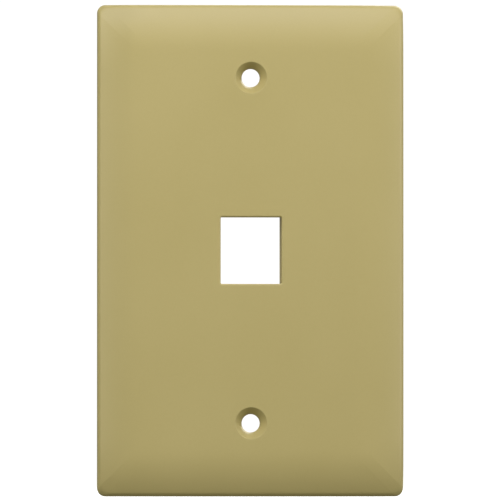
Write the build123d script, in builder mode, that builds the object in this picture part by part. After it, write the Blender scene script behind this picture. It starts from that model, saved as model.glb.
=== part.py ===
from build123d import *
from math import asin, cos, radians, tan
import os

# One-gang, mid-size wall plate cover with one snap-in jack port, and its two
# mounting screws parked in keepers moulded on the back.
#
# Frame: +X right and +Z up as seen from the room, -Y out of the wall.
# y = 0 is the wall plane (the back of the rim), the face is at y = -plate_d,
# and the origin is half way between the two mounting holes.
# Lengths are in millimetres.

# ---- driving dimensions -------------------------------------------------
plate_w = 74.0             # overall width
plate_h = 118.7            # overall height
plate_d = 6.35             # 1/4 in, wall plane to face
wall_t = 2.0               # moulded wall
corner_r = 2.0             # plan corners
crown_w = 11.0             # width of the falling border
crown_drop = 2.3           # how far the border falls at the middle of a side
edge_r = 1.6               # round between border and side wall

screw_pitch = 83.34        # 3 9/32 in between mounting holes
hole_d = 4.4
sink_d = 7.7               # countersink at the face
sink_angle = 82
lead_d = 5.24              # steep lead-in under the countersink
lead_len = 0.9
bore_len = 1.3
sink_edge_r = 0.2
boss_d = 9.5
relief_d = 6.2             # the boss is hollow behind the bore

port_w = 14.7              # snap-in jack opening
port_h = 16.1
port_edge_r = 0.4
port_wall = 1.75
housing_back = 3.65        # housing reaches this far behind the wall plane
latch_recess = 4.0         # room above the opening for the jack's latch
latch_front = -1.35
catch_overlap = 2.0
catch_front = 1.65
hook_depth = 2.0           # groove below the opening for the jack's hook
hook_front = 0.15
hook_back = 1.65

rib_t = 1.2
rib_back = -1.6
rib_x = 21.0
rib_z = (18.0, 35.0)

screw_z = 27.0             # parked screws, above and below the port
screw_y = -0.6
thread_d = 3.505           # No. 6-32
screw_len = 19.05          # 3/4 in, from the head's edge to the tip
head_d = 7.1
head_crown = 1.14          # oval top
slot_w = 1.2
slot_depth = 1.5
keeper_gap = 3.56
keeper_wall = 1.3
keeper_len = 2.0
keeper_back = 1.2
keeper_x = (-3.0, 5.5)

face_y = -plate_d
inner_y = -plate_d + wall_t
crown_R = (crown_w ** 2 + crown_drop ** 2) / (2 * crown_drop)


# ---- crowned surface --------------------------------------------------------
def crown_spans(half, radius, reach):
    """One section of the crowned face as three rational Bezier spans: the
    falling border, the flat, and the border again. Each is a list of
    ((u, drop), weight); the border is a circular arc tangent to the flat."""
    flat = half - crown_w
    turn = asin((half + reach - flat) / radius)
    arc = [((flat, 0.0), 1.0),
           ((flat + radius * tan(turn / 2), 0.0), cos(turn / 2)),
           ((half + reach, radius * (1 - cos(turn))), 1.0)]
    mirrored = [((-u, d), w) for (u, d), w in reversed(arc)]
    return [mirrored, [((-flat, 0.0), 1.0), ((flat, 0.0), 1.0)], arc]


def crowned_shell(inset, reach):
    """The face of the plate as a shell of nine exact patches: the drop of the
    section across plus the drop of the section along, so the border falls
    twice in the corners and no mitre shows. inset moves it into the wall."""
    patches = []
    for across in crown_spans(plate_w / 2, crown_R - inset, reach):
        for along in crown_spans(plate_h / 2, crown_R - inset, reach):
            points = [[(x, face_y + inset + dx + dz, z) for (z, dz), wz in along]
                      for (x, dx), wx in across]
            weights = [[wx * wz for (z, dz), wz in along]
                       for (x, dx), wx in across]
            patches.append(Face.make_bezier_surface(points, weights))
    return Shell(patches)


def on_outline(p):
    """True on the rounded plan outline of the plate."""
    dx = abs(p.X) - plate_w / 2 + corner_r
    dz = abs(p.Z) - plate_h / 2 + corner_r
    if dx > 0 and dz > 0:
        return abs((dx * dx + dz * dz) ** 0.5 - corner_r) < 0.01
    return abs(max(dx, dz) - corner_r) < 0.01


# ---- outer blank and the hollow behind it ----------------------------------
with BuildPart() as blank:
    with BuildSketch(Plane.XZ):
        RectangleRounded(plate_w, plate_h, corner_r)
    extrude(amount=plate_d + 1)
    split(bisect_by=crowned_shell(0.0, 1.0), keep=Keep.BOTTOM)
    rim = blank.edges().filter_by(
        lambda e: all(on_outline(e @ k) for k in (0.0, 0.3, 0.7, 1.0))
        and e.geom_type != GeomType.LINE and (e @ 0.5).Y < -1.0)
    fillet(rim, edge_r)

with BuildPart() as hollow:
    with BuildSketch(Plane.XZ.offset(-1)):
        RectangleRounded(plate_w - 2 * wall_t, plate_h - 2 * wall_t, 1.0)
    extrude(amount=plate_d + 1)
    split(bisect_by=crowned_shell(wall_t, 0.5), keep=Keep.BOTTOM)

# ---- wall plate: one moulding -----------------------------------------------
with BuildPart() as wall_plate:
    add(blank.part)
    add(hollow.part, mode=Mode.SUBTRACT)

    # mounting bosses, from the back of the face to the wall plane
    with BuildSketch(Plane.XZ.offset(-inner_y)):
        with Locations((0, screw_pitch / 2), (0, -screw_pitch / 2)):
            Circle(boss_d / 2)
    extrude(amount=inner_y)

    # jack housing
    with BuildSketch(Plane.XZ.offset(-inner_y)):
        top_z = port_h / 2 + latch_recess + port_wall
        low_z = -(port_h / 2 + hook_depth + port_wall)
        with Locations((0, (top_z + low_z) / 2)):
            RectangleRounded(port_w + 2 * port_wall, top_z - low_z, 0.8)
    extrude(amount=inner_y - housing_back)

    # stiffening ribs on the back of the face
    with BuildSketch(Plane.XZ.offset(-inner_y)):
        with GridLocations(2 * rib_x, 0, 2, 1):
            Rectangle(rib_t, 94)
        with GridLocations(0, 2 * rib_z[0], 1, 2):
            Rectangle(2 * rib_x, rib_t)
        with GridLocations(0, 2 * rib_z[1], 1, 2):
            Rectangle(2 * rib_x, rib_t)
        with GridLocations(0, screw_pitch, 1, 2):
            Rectangle(2 * rib_x, rib_t)
        Rectangle(2 * rib_x, rib_t)
    extrude(amount=inner_y - rib_back)

    # screw keepers: pairs of forks open to the back
    with BuildSketch(Plane.XZ.offset(-inner_y)):
        for kx in keeper_x:
            with Locations((kx, screw_z), (kx, -screw_z)):
                Rectangle(keeper_len, keeper_gap + 2 * keeper_wall)
    extrude(amount=inner_y - keeper_back)
    keeper_tips = (wall_plate.edges().filter_by(Axis.X)
                   .filter_by(lambda e: abs(e.center().Y - keeper_back) < 1e-3
                              and abs(abs(abs(e.center().Z) - screw_z)
                                      - keeper_gap / 2 - keeper_wall) < 1e-3))
    chamfer(keeper_tips, 0.5)
    with BuildSketch(Plane.YZ):
        for s in (1, -1):
            with Locations((screw_y, s * screw_z)):
                Circle(keeper_gap / 2)
            with Locations((screw_y + 2.0, s * screw_z)):
                Rectangle(4.0, keeper_gap)
    extrude(amount=11, both=True, mode=Mode.SUBTRACT)

    # port, straight through the face and the housing
    with BuildSketch(Plane.XZ.offset(plate_d)):
        RectangleRounded(port_w, port_h, 0.3)
    extrude(amount=-(plate_d + housing_back), mode=Mode.SUBTRACT)

    # latch recess above the opening, with a ramped catch at its back
    with BuildSketch(Plane.YZ):
        z0 = port_h / 2 - 0.4
        z1 = port_h / 2 + latch_recess
        with BuildLine():
            Polyline((latch_front, z0), (latch_front, z1),
                     (catch_front, z1), (catch_front, z1 - catch_overlap),
                     (housing_back + 0.1, z1 - 0.7), (housing_back + 0.1, z0),
                     (latch_front, z0))
        make_face()
    extrude(amount=port_w / 2, both=True, mode=Mode.SUBTRACT)

    # hook groove below the opening, with a lead-in at the back
    with BuildSketch(Plane.YZ):
        z0 = -port_h / 2 + 0.4
        z1 = -port_h / 2 - hook_depth
        with BuildLine():
            Polyline((hook_front, z0), (hook_front, z1), (hook_back, z1),
                     (hook_back, -port_h / 2), (housing_back - 0.9, -port_h / 2),
                     (housing_back + 0.1, -port_h / 2 - 1.0),
                     (housing_back + 0.1, z0), (hook_front, z0))
        make_face()
    extrude(amount=port_w / 2, both=True, mode=Mode.SUBTRACT)

    # mounting holes: countersink, steep lead-in, short bore, hollow boss
    y_lead = face_y + (sink_d - lead_d) / 2 / tan(radians(sink_angle / 2))
    y_bore = y_lead + lead_len
    y_relief = y_bore + bore_len
    for hole_z in (screw_pitch / 2, -screw_pitch / 2):
        with BuildSketch(Plane.XY.offset(hole_z)):
            with BuildLine():
                Polyline((0, face_y), (sink_d / 2, face_y), (lead_d / 2, y_lead),
                         (hole_d / 2, y_bore), (hole_d / 2, y_relief),
                         (relief_d / 2, y_relief), (relief_d / 2, 0), (0, 0),
                         (0, face_y))
            make_face()
        revolve(axis=Axis((0, 0, hole_z), (0, 1, 0)), revolution_arc=360,
                mode=Mode.SUBTRACT)

    # shallow ejector-pin marks
    with BuildSketch(Plane.XZ.offset(-inner_y)):
        with GridLocations(31, 2 * screw_z, 2, 2):
            Circle(2.4)
        with GridLocations(31, 18, 2, 2):
            Circle(2.4)
    extrude(amount=0.15, mode=Mode.SUBTRACT)

    # broken edges of the port and the countersinks, on the face
    face_edges = wall_plate.edges().filter_by(
        lambda e: abs(e.center().Y - face_y) < 1e-3
        and abs(e.bounding_box().size.Y) < 1e-3)
    port_edges = face_edges.filter_by(
        lambda e: abs(e.center().X) < 9 and abs(e.center().Z) < 9)
    sink_edges = face_edges.filter_by(GeomType.CIRCLE).filter_by(
        lambda e: abs(e.radius - sink_d / 2) < 0.01)
    fillet(port_edges, port_edge_r)
    fillet(sink_edges, sink_edge_r)

wall_plate.part.label = "wall_plate"
print("port edges", len(port_edges), "sink edges", len(sink_edges),
      "rim edges", len(rim))
print("bore from", round(y_bore, 3), "to", round(y_relief, 3))
print("plate valid", wall_plate.part.is_valid, "solids",
      len(wall_plate.part.solids()), "volume", round(wall_plate.part.volume, 1))


# ---- mounting screws: slotted oval head, lying along X -------------------
def screw_section(x_edge):
    """Half section in XY, turned about the screw's own axis. x_edge is the
    widest edge of the head; the point is towards +X."""
    r = thread_d / 2
    cone = (head_d / 2 - r) / tan(radians(sink_angle / 2))
    return r, cone


screw_x0 = -(screw_len + head_crown) / 2
r_t, cone_len = screw_section(0)
x_edge = screw_x0 + head_crown
x_tip = x_edge + screw_len

with BuildPart() as mounting_screw_upper:
    with BuildSketch(Plane.XY.offset(screw_z)):
        with BuildLine():
            ThreePointArc((screw_x0, screw_y),
                          (screw_x0 + 0.28, screw_y + head_d / 4 * 1.0),
                          (x_edge, screw_y + head_d / 2))
            Line((x_edge, screw_y + head_d / 2),
                 (x_edge + 0.15, screw_y + head_d / 2))
            Line((x_edge + 0.15, screw_y + head_d / 2),
                 (x_edge + 0.15 + cone_len, screw_y + r_t))
            Line((x_edge + 0.15 + cone_len, screw_y + r_t),
                 (x_tip - 0.5, screw_y + r_t))
            Line((x_tip - 0.5, screw_y + r_t), (x_tip, screw_y + r_t - 0.5))
            Line((x_tip, screw_y + r_t - 0.5), (x_tip, screw_y))
            Line((x_tip, screw_y), (screw_x0, screw_y))
        make_face()
    revolve(axis=Axis((0, screw_y, screw_z), (1, 0, 0)), revolution_arc=360)
    with BuildSketch(Plane.XZ.offset(5 - screw_y)):
        with Locations((screw_x0 + slot_depth / 2 - 0.5, screw_z)):
            Rectangle(slot_depth + 1.0, slot_w)
    extrude(amount=-10, mode=Mode.SUBTRACT)
mounting_screw_upper.part.label = "mounting_screw_upper"

with BuildPart() as mounting_screw_lower:
    add(mounting_screw_upper.part.mirror(Plane.XY))
mounting_screw_lower.part.label = "mounting_screw_lower"

os.makedirs("parts", exist_ok=True)
export_step(wall_plate.part, "parts/wall_plate.step")
export_step(mounting_screw_upper.part, "parts/mounting_screw_upper.step")
export_step(mounting_screw_lower.part, "parts/mounting_screw_lower.step")
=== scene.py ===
import bpy
import bmesh
import math
from mathutils import Vector, Matrix


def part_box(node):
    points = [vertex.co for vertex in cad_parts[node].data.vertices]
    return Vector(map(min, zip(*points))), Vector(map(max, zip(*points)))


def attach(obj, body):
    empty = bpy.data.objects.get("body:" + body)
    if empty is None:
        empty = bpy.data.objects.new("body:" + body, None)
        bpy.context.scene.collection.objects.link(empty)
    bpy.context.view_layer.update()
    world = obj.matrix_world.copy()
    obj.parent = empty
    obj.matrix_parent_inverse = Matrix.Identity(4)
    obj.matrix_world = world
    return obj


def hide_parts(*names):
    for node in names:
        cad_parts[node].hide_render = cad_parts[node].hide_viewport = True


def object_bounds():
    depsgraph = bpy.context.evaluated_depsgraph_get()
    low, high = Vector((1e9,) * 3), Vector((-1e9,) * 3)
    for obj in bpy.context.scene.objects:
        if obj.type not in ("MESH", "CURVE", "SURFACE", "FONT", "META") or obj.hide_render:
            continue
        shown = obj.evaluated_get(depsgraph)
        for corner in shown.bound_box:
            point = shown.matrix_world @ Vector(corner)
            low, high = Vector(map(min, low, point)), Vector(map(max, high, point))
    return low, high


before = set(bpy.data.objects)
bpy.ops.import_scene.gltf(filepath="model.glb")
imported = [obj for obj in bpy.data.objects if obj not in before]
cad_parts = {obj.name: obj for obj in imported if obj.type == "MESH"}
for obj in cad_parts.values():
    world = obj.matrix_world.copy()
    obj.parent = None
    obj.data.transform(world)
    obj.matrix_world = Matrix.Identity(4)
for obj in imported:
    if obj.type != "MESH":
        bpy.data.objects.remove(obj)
cad_lo, cad_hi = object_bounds()

scene = bpy.context.scene
scene.view_settings.view_transform = "Standard"
scene.view_settings.look = "None"
scene.view_settings.exposure = 0.0
scene.view_settings.gamma = 1.0

MM = 0.001

# ------------------------------------------------------------------
# sizes, in millimetres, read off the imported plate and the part's design
# ------------------------------------------------------------------
lo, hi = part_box("wall_plate")
HALF_W = (hi.x - lo.x) / 2 / MM
HALF_H = (hi.z - lo.z) / 2 / MM
DEPTH = -lo.y / MM
BACK = hi.y / MM            # back of the jack housing
WALL = 2.0
CORNER = 2.0
CROWN_W = 11.0
CROWN_DROP = 2.3
EDGE_R = 1.6
SCREW_Z = 83.34 / 2
HOLE_R = 2.2
SINK_R = 3.85
LEAD_R, LEAD_LEN = 2.62, 0.9
BORE_LEN = 1.3
RELIEF_R = 3.1
PORT_W, PORT_H = 14.7, 16.1
FACE_Y = -DEPTH
INNER_Y = -DEPTH + WALL
CROWN_R = (CROWN_W ** 2 + CROWN_DROP ** 2) / (2 * CROWN_DROP)


# ------------------------------------------------------------------
# mesh helpers: everything is drawn in millimetres and scaled once
# ------------------------------------------------------------------
def new_object(name, bm, smooth_angle=28.0, material=None):
    bmesh.ops.recalc_face_normals(bm, faces=bm.faces)
    me = bpy.data.meshes.new(name)
    bm.to_mesh(me)
    bm.free()
    ob = bpy.data.objects.new(name, me)
    scene.collection.objects.link(ob)
    if material:
        me.materials.append(material)
    return ob


def rounded_ring(a, b, r, n_c, n_x, n_z):
    """Points (x, z) round a rectangle of half sizes a, b with corner radius
    r, always 4 * n_c + 2 * n_x + 2 * n_z of them."""
    pts = []
    r = max(r, 1e-4)

    def run(p, q, n):
        for i in range(n):
            t = i / n
            pts.append((p[0] + (q[0] - p[0]) * t, p[1] + (q[1] - p[1]) * t))

    def arc(cx, cz, a0, n):
        for i in range(n):
            t = math.radians(a0 + 90.0 * i / n)
            pts.append((cx + r * math.cos(t), cz + r * math.sin(t)))

    run((a, -(b - r)), (a, b - r), n_z)
    arc(a - r, b - r, 0, n_c)
    run((a - r, b), (-(a - r), b), n_x)
    arc(-(a - r), b - r, 90, n_c)
    run((-a, b - r), (-a, -(b - r)), n_z)
    arc(-(a - r), -(b - r), 180, n_c)
    run((-(a - r), -b), (a - r, -b), n_x)
    arc(a - r, -(b - r), 270, n_c)
    return pts


def stack(rings, cap_first=True, cap_last=True):
    """A closed mesh from rings of 3-D points, all of the same length."""
    bm = bmesh.new()
    vs = [[bm.verts.new(p) for p in ring] for ring in rings]
    n = len(rings[0])
    for k in range(len(vs) - 1):
        for i in range(n):
            j = (i + 1) % n
            bm.faces.new((vs[k][i], vs[k][j], vs[k + 1][j], vs[k + 1][i]))
    if cap_first:
        bm.faces.new(list(reversed(vs[0])))
    if cap_last:
        bm.faces.new(vs[-1])
    return bm


def plan_stack(a, b, r, levels, n_c=6, n_x=4, n_z=4, cx=0.0, cz=0.0):
    """A closed solid on a rounded rectangle in plan. levels lists (inset, y)."""
    rings = []
    for inset, y in levels:
        ring = rounded_ring(a - inset, b - inset, max(r - inset, 0.02), n_c, n_x, n_z)
        rings.append([(x + cx, y, z + cz) for x, z in ring])
    return stack(rings)


def lathe_y(profile, cx, cz, n=64):
    """A closed solid turned about an axis along Y. profile lists (r, y)."""
    rings = []
    for r, y in profile:
        rings.append([(cx + r * math.cos(2 * math.pi * i / n), y,
                       cz + r * math.sin(2 * math.pi * i / n)) for i in range(n)])
    return stack(rings)


def section_x(poly, x0, x1):
    """A closed solid: a polygon of (y, z) points run from x0 to x1."""
    return stack([[(x0, y, z) for y, z in poly], [(x1, y, z) for y, z in poly]])


def arc_levels(inset0, y0, r, n, outward=False, to_back=True):
    """Levels that round a convex edge: from a wall at inset0 to a flat at y0."""
    out = []
    for i in range(n + 1):
        t = math.pi / 2 * i / n
        d = r * (1 - math.cos(t))
        y = y0 - r * (1 - math.sin(t)) if to_back else y0 + r * (1 - math.sin(t))
        out.append((inset0 + d, y))
    return out


def boolean(target, tool_bm, op):
    tool = new_object("tool", tool_bm)
    mod = target.modifiers.new("b", "BOOLEAN")
    mod.operation = op
    mod.solver = "EXACT"
    mod.object = tool
    bpy.context.view_layer.update()
    dg = bpy.context.evaluated_depsgraph_get()
    me = bpy.data.meshes.new_from_object(target.evaluated_get(dg))
    target.modifiers.clear()
    old = target.data
    target.data = me
    bpy.data.meshes.remove(old)
    bpy.data.objects.remove(tool)
    return target


# ------------------------------------------------------------------
# wall plate
# ------------------------------------------------------------------
def fall(u, radius):
    """Drop of the face at a distance u from a side: a circular arc."""
    v = CROWN_W - u
    return radius - math.sqrt(radius ** 2 - v * v) if v > 0 else 0.0


def crowned(x, z, radius):
    """The border falls with the sum of both sides, so the corners are soft."""
    return fall(HALF_W - abs(x), radius) + fall(HALF_H - abs(z), radius)


def face_drop(x, z):
    return crowned(x, z, CROWN_R)


def inner_drop(x, z):
    return crowned(x, z, CROWN_R - WALL)


N_C, N_X, N_Z = 18, 14, 22


def plate_shell():
    """The moulded shell: outer side wall, rounded rim, falling border, flat
    face, and the same again on the inside."""
    def ring(inset, r):
        return rounded_ring(HALF_W - inset, HALF_H - inset, r, N_C, N_X, N_Z)

    sin_t = (CROWN_W - EDGE_R) / (CROWN_R - EDGE_R)
    d0 = EDGE_R * (1 - sin_t)      # inset where the rim round meets the border
    rings = []
    # back edge of the rim, outside, with a small round
    br = 0.25
    for i in range(4):
        t = math.pi / 2 * i / 4
        rings.append([(x, -br * (1 - math.cos(t)), z)
                      for x, z in ring(br * (1 - math.sin(t)), CORNER)])
    # side wall and rim round, each point following the border above it
    top = ring(d0, CORNER)
    outer = ring(0.0, CORNER)
    n = len(top)
    info = []
    for i in range(n):
        x, z = top[i]
        ox, oz = outer[i]
        nx, nz = ox - x, oz - z
        ln = math.hypot(nx, nz)
        nx, nz = nx / ln, nz / ln
        e = 0.02
        g = (face_drop(x + nx * e, z + nz * e) - face_drop(x - nx * e, z - nz * e)) / (2 * e)
        t0 = math.atan(g)
        r = ln / (1 - math.sin(t0))
        y_top = FACE_Y + face_drop(x, z)
        info.append((x, z, ox, oz, nx, nz, t0, r, y_top))
    y_low = []
    for x, z, ox, oz, nx, nz, t0, r, y_top in info:
        y_low.append(y_top + r * math.cos(t0))
    for k in range(5):
        f = k / 5
        rings.append([(info[i][2], -br + (y_low[i] + br) * f, info[i][3]) for i in range(n)])
    m = 9
    for k in range(m):
        pts = []
        for i in range(n):
            x, z, ox, oz, nx, nz, t0, r, y_top = info[i]
            ph = math.pi / 2 + (t0 - math.pi / 2) * k / m
            back = r * (1 - math.sin(ph))
            y = y_top + r * (math.cos(t0) - math.cos(ph))
            pts.append((ox - nx * back, y, oz - nz * back))
        rings.append(pts)
    # falling border
    steps = 30
    for k in range(steps + 1):
        s = d0 + (CROWN_W - d0) * k / steps
        rings.append([(x, FACE_Y + face_drop(x, z), z) for x, z in ring(s, CORNER)])
    rings.append([(x, FACE_Y, z) for x, z in ring(CROWN_W + 0.15, CORNER)])
    outer_rings = rings

    # inside, from the middle of the flat back to the inner edge of the rim
    inner = []
    inner.append([(x, INNER_Y, z) for x, z in ring(CROWN_W + 0.15, CORNER)])
    steps = 16
    foot = WALL + 0.5
    for k in range(steps + 1):
        s = CROWN_W + (foot - CROWN_W) * k / steps
        inner.append([(x, INNER_Y + inner_drop(x, z), z) for x, z in ring(s, 1.6)])
    base = ring(foot, 1.6)
    wall = ring(WALL, 1.0)
    for k in range(1, 5):
        t = math.pi / 2 * k / 4
        pts = []
        for i in range(n):
            x, z = base[i]
            wx, wz = wall[i]
            y0 = INNER_Y + inner_drop(x, z)
            pts.append((x + (wx - x) * math.sin(t), y0 + 0.12 * math.sin(t) + 0.5 * (1 - math.cos(t)),
                        z + (wz - z) * math.sin(t)))
        inner.append(pts)
    y_start = [p[1] for p in inner[-1]]
    for k in range(1, 3):
        f = k / 3
        inner.append([(wall[i][0], y_start[i] + (-br - y_start[i]) * f, wall[i][1]) for i in range(n)])
    for i in range(4):
        t = math.pi / 2 * i / 4
        c = ring(WALL - br * (1 - math.cos(t)), 1.0 + br * (1 - math.cos(t)))
        inner.append([(x, -br + br * math.sin(t), z) for x, z in c])
    inner.append([(x, 0.0, z) for x, z in ring(WALL - br, 1.0 + br)])
    first = [(x, 0.0, z) for x, z in ring(br, CORNER)]
    # closed: rim flat, outside up to the face, cap, and inside back down
    bm = bmesh.new()

    def strip(rs):
        return [[bm.verts.new(p) for p in r] for r in rs]

    vo = strip(outer_rings)
    vi = strip(inner)

    def join(ra, rb):
        for i in range(n):
            j = (i + 1) % n
            bm.faces.new((ra[i], ra[j], rb[j], rb[i]))

    for k in range(len(vo) - 1):
        join(vo[k], vo[k + 1])
    bm.faces.new(vo[-1])
    bm.faces.new(list(reversed(vi[0])))
    for k in range(len(vi) - 1):
        join(vi[k], vi[k + 1])
    join(vi[-1], vo[0])
    bmesh.ops.remove_doubles(bm, verts=bm.verts, dist=1e-5)
    return bm


def rounded_box_y(x0, x1, z0, z1, y0, y1, r):
    """A rib: a block standing on y0, its edges at y1 rounded."""
    a, b = (x1 - x0) / 2, (z1 - z0) / 2
    levels = [(0.0, y0)] + arc_levels(0.0, y1, r, 4)
    return plan_stack(a, b, 0.15, levels, n_c=2, n_x=1, n_z=1,
                      cx=(x0 + x1) / 2, cz=(z0 + z1) / 2)


def fork_section(s):
    """Section of a screw keeper, open to the back, in (y, z)."""
    zc, yc = s * 27.0, -0.6
    gap, wall, tip = 3.56 / 2, 1.3, 1.2
    pts = [(INNER_Y - 0.5, zc - gap - wall)]

    def tip_round(z_a, z_b, flip):
        out = []
        c = (z_a + z_b) / 2
        h = abs(z_b - z_a) / 2
        for i in range(9):
            t = math.pi * i / 8
            out.append((tip - h * 0.7 + h * 0.7 * math.sin(t), c - h * math.cos(t) * flip))
        return out

    pts += tip_round(zc - gap - wall, zc - gap, 1)
    for i in range(13):
        t = math.pi * i / 12
        pts.append((yc - gap * math.sin(t), zc - gap * math.cos(t)))
    pts += tip_round(zc + gap, zc + gap + wall, 1)
    pts.append((INNER_Y - 0.5, zc + gap + wall))
    return pts


def build_plate(material):
    ob = new_object("plate_moulding", plate_shell())
    root = INNER_Y - 0.5
    # stiffening ribs
    rib_back, t = -1.6, 0.6
    for x in (-21.0, 21.0):
        boolean(ob, rounded_box_y(x - t, x + t, -47, 47, root, rib_back, 0.3), "UNION")
    for z in (0.0, 18.0, -18.0, 35.0, -35.0, SCREW_Z, -SCREW_Z):
        boolean(ob, rounded_box_y(-21.2, 21.2, z - t, z + t, root, rib_back - 0.02, 0.3), "UNION")
    # screw bosses
    for z in (SCREW_Z, -SCREW_Z):
        prof = [(4.75 - i, y) for i, y in [(0.0, root)] + arc_levels(0.0, 0.0, 0.35, 4)]
        boolean(ob, lathe_y(prof, 0.0, z, 48), "UNION")
    # jack housing
    top_z, low_z = PORT_H / 2 + 5.75, -(PORT_H / 2 + 3.75)
    levels = [(0.0, root)] + arc_levels(0.0, BACK, 0.35, 4)
    boolean(ob, plan_stack(PORT_W / 2 + 1.75, (top_z - low_z) / 2, 0.8, levels,
                           cz=(top_z + low_z) / 2), "UNION")
    # screw keepers
    for s in (1, -1):
        for x in (-3.0, 5.5):
            boolean(ob, section_x(fork_section(s), x - 1.0, x + 1.0), "UNION")
    # port through everything, with a rounded front edge
    e = 0.4
    levels = [(-e, FACE_Y - 1.0)]
    for i in range(9):
        t5 = math.pi / 2 * i / 8
        levels.append((-e * (1 - math.sin(t5)), FACE_Y + e * (1 - math.cos(t5))))
    levels.append((0.0, BACK + 1.0))
    boolean(ob, plan_stack(PORT_W / 2, PORT_H / 2, 0.3, levels, n_c=5), "DIFFERENCE")
    # latch recess above, hook groove below
    z0, z1 = PORT_H / 2 - 0.4, PORT_H / 2 + 4.0
    poly = [(-1.35, z0), (-1.35, z1), (1.65, z1), (1.65, z1 - 2.0),
            (BACK + 0.1, z1 - 0.7), (BACK + 0.1, z0)]
    w = PORT_W / 2 - 0.001
    boolean(ob, section_x(poly, -w, w), "DIFFERENCE")
    z0, z1 = -PORT_H / 2 + 0.4, -PORT_H / 2 - 2.0
    zp = -PORT_H / 2
    poly = [(0.15, z0), (0.15, z1), (1.65, z1), (1.65, zp), (BACK - 0.9, zp),
            (BACK + 0.1, zp - 1.0), (BACK + 0.1, z0)]
    boolean(ob, section_x(poly, -w, w), "DIFFERENCE")
    # mounting holes: rounded mouth, countersink, steep lead-in, short bore,
    # and the hollow of the boss behind it
    half = math.radians(41)
    e = 0.2
    y_lead = FACE_Y + (SINK_R - LEAD_R) / math.tan(half)
    y_bore = y_lead + LEAD_LEN
    y_relief = y_bore + BORE_LEN
    # the round is tangent to the face and to the cone
    reach = e * math.tan((math.pi / 2 - half) / 2)
    prof = [(SINK_R + reach, FACE_Y - 1.0)]
    for i in range(9):
        t5 = (math.pi / 2 - half) * i / 8
        prof.append((SINK_R + reach - e * math.sin(t5), FACE_Y + e * (1 - math.cos(t5))))
    prof += [(LEAD_R + 0.05, y_lead - 0.05 / math.tan(half)), (LEAD_R - 0.01, y_lead + 0.06),
             (HOLE_R + 0.03, y_bore - 0.10), (HOLE_R, y_bore + 0.06),
             (HOLE_R, y_relief), (RELIEF_R, y_relief), (RELIEF_R, -0.2),
             (RELIEF_R + 0.2, 0.0), (RELIEF_R + 0.2, 1.0)]
    for z in (SCREW_Z, -SCREW_Z):
        boolean(ob, lathe_y(prof, 0.0, z, 96), "DIFFERENCE")
    # ejector marks
    for x in (-15.5, 15.5):
        for z in (-27.0, -9.0, 9.0, 27.0):
            boolean(ob, lathe_y([(2.4, INNER_Y - 0.15), (2.4, INNER_Y + 1.0)], x, z, 40), "DIFFERENCE")
    me = ob.data
    me.materials.clear()
    me.materials.append(material)
    return ob


def finish_mesh(ob, angle=28.0):
    me = ob.data
    bm = bmesh.new()
    bm.from_mesh(me)
    bmesh.ops.remove_doubles(bm, verts=bm.verts, dist=2e-5)
    for f in bm.faces:
        f.smooth = True
    lim = math.radians(angle)
    for e in bm.edges:
        if len(e.link_faces) == 2:
            e.smooth = e.calc_face_angle(0.0) < lim
    bmesh.ops.recalc_face_normals(bm, faces=bm.faces)
    bm.to_mesh(me)
    bm.free()
    me.transform(Matrix.Scale(MM, 4))
    me.update()
    # the big flat faces keep their own direction right up to the rounds
    wn = ob.modifiers.new("face_normals", "WEIGHTED_NORMAL")
    wn.mode = "FACE_AREA"
    wn.weight = 50
    wn.keep_sharp = True
    return ob


# ------------------------------------------------------------------
# mounting screws: slotted oval head, rolled thread
# ------------------------------------------------------------------
def build_screw(name, cz, turn, steel, paint):
    pitch = 25.4 / 32
    major, minor = 3.505 / 2, 2.64 / 2
    head_r, crown = 7.1 / 2, 1.14
    total = 19.05 + crown
    x0 = -total / 2
    n = 40
    yc = -0.6
    cone = (head_r - major) / math.tan(math.radians(41))
    x_edge = x0 + crown
    x_neck = x_edge + 0.15 + cone
    x_tip = x0 + total
    crown_r = (head_r ** 2 + crown ** 2) / (2 * crown)

    def thread_r(x, th):
        ph = ((x - th / (2 * math.pi) * pitch) / pitch) % 1.0
        tri = abs(2 * ph - 1)                # 0 at the crest, 1 at the root
        k = min(1.0, max(0.0, (tri - 0.10) / 0.78))
        full = major - (major - minor) * k
        start = x_neck + 0.9
        a = min(1.0, max(0.0, (x - start) / 1.0))
        tail = min(1.0, max(0.0, (x_tip - x) / 0.9))
        r = major * (1 - a) + full * a - 0.12 * (1 - a)
        return min(r, minor - 0.25 + (major - minor + 0.25) * tail)

    rings = []
    # head crown, from the centre outwards
    for i in range(1, 11):
        r = head_r * i / 10 * 0.985
        x = x0 + crown_r - math.sqrt(crown_r ** 2 - r * r)
        rings.append([(x, r)] * n)
    rings.append([(x_edge + 0.02, head_r - 0.01)] * n)
    rings.append([(x_edge + 0.13, head_r - 0.01)] * n)
    rings.append([(x_edge + 0.20, head_r - 0.07)] * n)
    for i in range(1, 5):
        f = i / 4
        rings.append([(x_edge + 0.2 + (x_neck - 0.12 - x_edge - 0.2) * f,
                       head_r - 0.07 + (major - head_r) * f * 0.985)] * n)
    start = x_neck + 0.15
    steps = int((x_tip - start) / (pitch / 12))
    for k in range(steps + 1):
        x = start + (x_tip - start) * k / steps
        rings.append([(x, thread_r(x, 2 * math.pi * i / n)) for i in range(n)])
    pts = []
    for ring in rings:
        pts.append([(x, yc + r * math.cos(2 * math.pi * i / n + turn),
                     cz + r * math.sin(2 * math.pi * i / n + turn))
                    for i, (x, r) in enumerate(ring)])
    bm = stack(pts)
    ob = new_object(name, bm)
    # slot, its floor a little rounded at the sides
    tool = plan_slot(x0, cz, yc, crown)
    boolean(ob, tool, "DIFFERENCE")
    me = ob.data
    me.materials.clear()
    me.materials.append(paint)
    me.materials.append(steel)
    for p in me.polygons:
        p.material_index = 0 if p.center.x < x_edge + 0.5 else 1
    return ob


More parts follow.
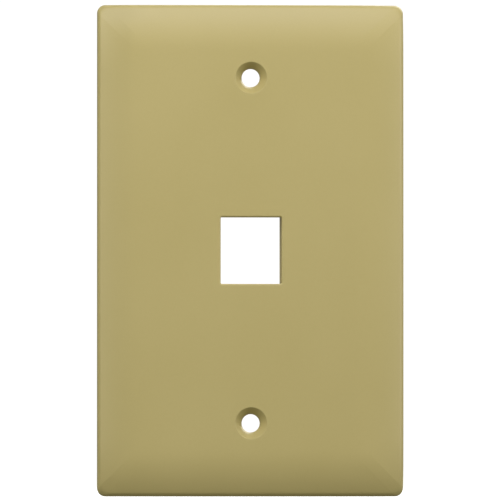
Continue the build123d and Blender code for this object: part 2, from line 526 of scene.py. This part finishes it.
def plan_slot(x0, cz, yc, crown):
    h, d = 0.6, 1.5
    poly = [(x0 - 1.0, cz - h - 0.05), (x0 + 0.35, cz - h), (x0 + d - 0.12, cz - h),
            (x0 + d, cz - h + 0.12), (x0 + d, cz + h - 0.12), (x0 + d - 0.12, cz + h),
            (x0 + 0.35, cz + h), (x0 - 1.0, cz + h + 0.05)]
    return stack([[(x, yc - 6, z) for x, z in poly], [(x, yc + 6, z) for x, z in poly]])


# ------------------------------------------------------------------
# materials
# ------------------------------------------------------------------
def srgb(r, g, b):
    def f(c):
        c /= 255
        return c / 12.92 if c <= 0.04045 else ((c + 0.055) / 1.055) ** 2.4
    return (f(r), f(g), f(b), 1.0)


def node(nt, kind, **kw):
    n = nt.nodes.new(kind)
    for k, v in kw.items():
        setattr(n, k, v)
    return n


def moulded_plastic(name, low, high, rough=0.42, bump=0.012):
    """Satin moulded plastic: an even body colour with faint flow clouding,
    a fine spark-eroded grain, and gloss that varies a little."""
    mat = bpy.data.materials.new(name)
    mat.use_nodes = True
    nt = mat.node_tree
    nt.nodes.clear()
    out = node(nt, "ShaderNodeOutputMaterial")
    bs = node(nt, "ShaderNodeBsdfPrincipled")
    nt.links.new(bs.outputs[0], out.inputs[0])
    tc = node(nt, "ShaderNodeTexCoord")
    # clouding in the melt, over centimetres
    cloud = node(nt, "ShaderNodeTexNoise")
    cloud.inputs["Scale"].default_value = 38.0
    cloud.inputs["Detail"].default_value = 4.0
    cloud.inputs["Roughness"].default_value = 0.55
    nt.links.new(tc.outputs["Object"], cloud.inputs["Vector"])
    # pigment specks, well under a millimetre
    speck = node(nt, "ShaderNodeTexNoise")
    speck.inputs["Scale"].default_value = 2600.0
    speck.inputs["Detail"].default_value = 2.0
    nt.links.new(tc.outputs["Object"], speck.inputs["Vector"])
    add = node(nt, "ShaderNodeMix", data_type="FLOAT")
    add.inputs["Factor"].default_value = 0.35
    nt.links.new(cloud.outputs["Fac"], add.inputs[2])
    nt.links.new(speck.outputs["Fac"], add.inputs[3])
    ramp = node(nt, "ShaderNodeValToRGB")
    ramp.color_ramp.elements[0].position = 0.30
    ramp.color_ramp.elements[0].color = low
    ramp.color_ramp.elements[1].position = 0.70
    ramp.color_ramp.elements[1].color = high
    nt.links.new(add.outputs[0], ramp.inputs["Fac"])
    nt.links.new(ramp.outputs["Color"], bs.inputs["Base Color"])
    rr = node(nt, "ShaderNodeMapRange")
    rr.inputs["From Min"].default_value = 0.3
    rr.inputs["From Max"].default_value = 0.7
    rr.inputs["To Min"].default_value = rough - 0.04
    rr.inputs["To Max"].default_value = rough + 0.04
    nt.links.new(cloud.outputs["Fac"], rr.inputs["Value"])
    nt.links.new(rr.outputs["Result"], bs.inputs["Roughness"])
    grain = node(nt, "ShaderNodeTexNoise")
    grain.inputs["Scale"].default_value = 4200.0
    grain.inputs["Detail"].default_value = 3.0
    grain.inputs["Roughness"].default_value = 0.6
    nt.links.new(tc.outputs["Object"], grain.inputs["Vector"])
    bp = node(nt, "ShaderNodeBump")
    bp.inputs["Strength"].default_value = 0.35
    bp.inputs["Distance"].default_value = bump * MM
    nt.links.new(grain.outputs["Fac"], bp.inputs["Height"])
    nt.links.new(bp.outputs["Normal"], bs.inputs["Normal"])
    bs.inputs["IOR"].default_value = 1.47
    bs.inputs["Specular IOR Level"].default_value = 0.5
    return mat


def zinc(name):
    mat = bpy.data.materials.new(name)
    mat.use_nodes = True
    nt = mat.node_tree
    nt.nodes.clear()
    out = node(nt, "ShaderNodeOutputMaterial")
    bs = node(nt, "ShaderNodeBsdfPrincipled")
    nt.links.new(bs.outputs[0], out.inputs[0])
    tc = node(nt, "ShaderNodeTexCoord")
    n1 = node(nt, "ShaderNodeTexNoise")
    n1.inputs["Scale"].default_value = 420.0
    n1.inputs["Detail"].default_value = 5.0
    nt.links.new(tc.outputs["Object"], n1.inputs["Vector"])
    ramp = node(nt, "ShaderNodeValToRGB")
    ramp.color_ramp.elements[0].position = 0.35
    ramp.color_ramp.elements[0].color = (0.46, 0.46, 0.45, 1)
    ramp.color_ramp.elements[1].position = 0.68
    ramp.color_ramp.elements[1].color = (0.66, 0.65, 0.61, 1)
    nt.links.new(n1.outputs["Fac"], ramp.inputs["Fac"])
    nt.links.new(ramp.outputs["Color"], bs.inputs["Base Color"])
    rr = node(nt, "ShaderNodeMapRange")
    rr.inputs["To Min"].default_value = 0.24
    rr.inputs["To Max"].default_value = 0.42
    nt.links.new(n1.outputs["Fac"], rr.inputs["Value"])
    nt.links.new(rr.outputs["Result"], bs.inputs["Roughness"])
    n2 = node(nt, "ShaderNodeTexNoise")
    n2.inputs["Scale"].default_value = 3000.0
    nt.links.new(tc.outputs["Object"], n2.inputs["Vector"])
    bp = node(nt, "ShaderNodeBump")
    bp.inputs["Strength"].default_value = 0.3
    bp.inputs["Distance"].default_value = 0.01 * MM
    nt.links.new(n2.outputs["Fac"], bp.inputs["Height"])
    nt.links.new(bp.outputs["Normal"], bs.inputs["Normal"])
    bs.inputs["Metallic"].default_value = 1.0
    return mat


plastic = moulded_plastic("moulded_ivory", srgb(174, 161, 105), srgb(178, 165, 109))
paint = moulded_plastic("painted_ivory", srgb(173, 160, 104), srgb(179, 166, 110), rough=0.34, bump=0.02)
steel = zinc("zinc_plated_steel")

plate = finish_mesh(build_plate(plastic))
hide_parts("wall_plate")
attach(plate, "plate")

upper = finish_mesh(build_screw("slotted_screw_upper", 27.0, 0.0, steel, paint), 40)
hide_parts("mounting_screw_upper")
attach(upper, "upper_screw")
lower = finish_mesh(build_screw("slotted_screw_lower", -27.0, 1.9, steel, paint), 40)
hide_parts("mounting_screw_lower")
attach(lower, "lower_screw")

# ------------------------------------------------------------------
# stage, light and camera
# ------------------------------------------------------------------
CENTRE = Vector((0.0, -0.004, 0.0))


def area(name, loc, size, power, color=(1, 1, 1), size_y=None, target=CENTRE):
    li = bpy.data.lights.new(name, "AREA")
    li.shape = "RECTANGLE"
    li.size = size
    li.size_y = size_y or size
    li.energy = power
    li.color = color
    ob = bpy.data.objects.new(name, li)
    ob.location = loc
    d = (Vector(target) - Vector(loc)).normalized()
    ob.rotation_euler = d.to_track_quat("-Z", "Y").to_euler()
    scene.collection.objects.link(ob)
    return ob


def stage_material(name, strength):
    mat = bpy.data.materials.new(name)
    mat.use_nodes = True
    nt = mat.node_tree
    nt.nodes.clear()
    out = node(nt, "ShaderNodeOutputMaterial")
    em = node(nt, "ShaderNodeEmission")
    em.inputs["Color"].default_value = (1, 1, 1, 1)
    em.inputs["Strength"].default_value = strength
    df = node(nt, "ShaderNodeBsdfDiffuse")
    df.inputs["Color"].default_value = (0.8, 0.8, 0.8, 1)
    ad = node(nt, "ShaderNodeAddShader")
    nt.links.new(em.outputs[0], ad.inputs[0])
    nt.links.new(df.outputs[0], ad.inputs[1])
    nt.links.new(ad.outputs[0], out.inputs[0])
    return mat


floor_z = cad_lo.z
bm = bmesh.new()
bmesh.ops.create_grid(bm, x_segments=1, y_segments=1, size=6.0)
me = bpy.data.meshes.new("floor")
bm.to_mesh(me)
bm.free()
floor = bpy.data.objects.new("floor", me)
floor.location = (0, 0, floor_z - 0.0001)
scene.collection.objects.link(floor)
me.materials.append(stage_material("pale_floor", 0.86))
floor.visible_diffuse = False
floor.visible_glossy = False

world = bpy.data.worlds.new("studio")
scene.world = world
world.use_nodes = True
wn = world.node_tree
wn.nodes.clear()
wo = node(wn, "ShaderNodeOutputWorld")
bg_light = node(wn, "ShaderNodeBackground")
bg_light.inputs["Color"].default_value = (1.0, 0.98, 0.78, 1)
bg_light.inputs["Strength"].default_value = 0.255
bg_seen = node(wn, "ShaderNodeBackground")
bg_seen.inputs["Color"].default_value = (1, 1, 1, 1)
bg_seen.inputs["Strength"].default_value = 1.05
lp = node(wn, "ShaderNodeLightPath")
mx = node(wn, "ShaderNodeMixShader")
wn.links.new(lp.outputs["Is Camera Ray"], mx.inputs[0])
wn.links.new(bg_light.outputs[0], mx.inputs[1])
wn.links.new(bg_seen.outputs[0], mx.inputs[2])
wn.links.new(mx.outputs[0], wo.inputs[0])

# one wide soft box above, and weak soft boxes to the sides
area("top_wide", (0.0, -0.35, 0.42), 1.0, 2.22, color=(0.98, 0.98, 1.13), size_y=0.25)
area("top_near", (0.0, -0.35, 0.42), 0.30, 0.98, color=(1.0, 0.94, 0.92))
area("left_high", (-0.80, -0.60, 0.50), 0.60, 2.7)
area("left", (-0.80, -0.60, 0.0), 0.60, 1.6)
area("right", (0.80, -0.60, 0.0), 0.60, 0.9)
area("right_low", (0.90, -0.25, 0.10), 0.60, 3.7)
# and one behind, for the views of the back
area("back_high", (0.45, 0.95, 0.60), 0.80, 9.0)

DIST, AZ, EL = 3.00, -2.8, -1.0
cam_data = bpy.data.cameras.new("camera")
cam = bpy.data.objects.new("camera", cam_data)
scene.collection.objects.link(cam)
a, e = math.radians(AZ), math.radians(EL)
aim = Vector((-0.00025, -0.0055, 0.00012))
cam.location = aim + DIST * Vector((math.sin(a) * math.cos(e), -math.cos(a) * math.cos(e), math.sin(e)))
cam.rotation_euler = (aim - cam.location).to_track_quat("-Z", "Y").to_euler()
cam_data.sensor_width = 36.0
cam_data.lens = 36.0 * DIST / (500 / 4.145 * MM)
cam_data.clip_start = 0.01
cam_data.clip_end = 50.0
scene.camera = cam
